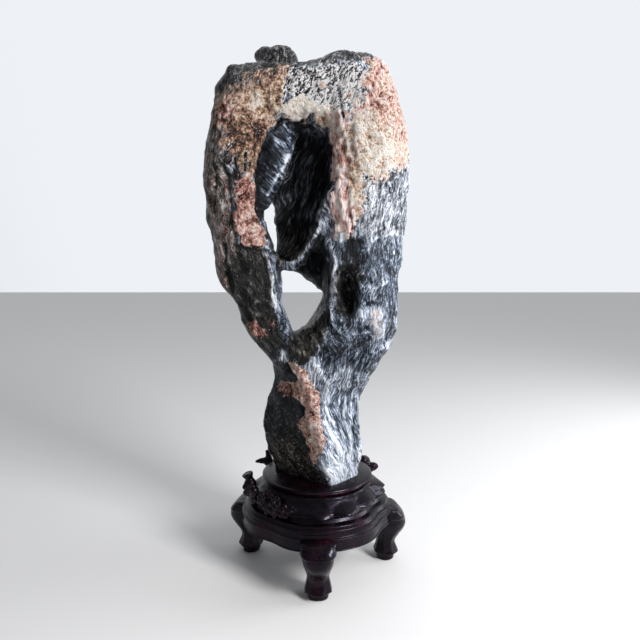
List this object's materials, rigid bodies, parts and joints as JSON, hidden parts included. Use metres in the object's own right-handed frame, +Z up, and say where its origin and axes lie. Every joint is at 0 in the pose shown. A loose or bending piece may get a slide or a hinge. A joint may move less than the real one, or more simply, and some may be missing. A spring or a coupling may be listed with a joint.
{
  "type": "scholars rock on a carved stand",
  "caption": "Tall pierced scholars rock with a cave and a through hole, resting in the seat of a carved wooden stand on cabriole legs.",
  "frame": {"origin": "on the floor under the centre of the bounding box", "axes": "+Z up along the rock, the front with the cave faces -Y, +X to the right seen from the front"},
  "size_m": [0.2406, 0.219, 0.6204],
  "materials": {
    "stone": "weathered dark limestone with pink and ochre crust, waxed",
    "stand_wood": "near-black lacquered rosewood",
    "carving_wood": "near-black lacquered rosewood, carved"
  },
  "bodies": {
    "root": {"rock": "stone", "stand_body": "stand_wood", "leg_front": "stand_wood", "leg_right": "stand_wood", "leg_back": "stand_wood", "leg_left": "stand_wood", "branch_stub": "carving_wood", "blossom_spray": "carving_wood", "fungus_left": "carving_wood", "fungus_right": "carving_wood"}
  },
  "joints": []
}
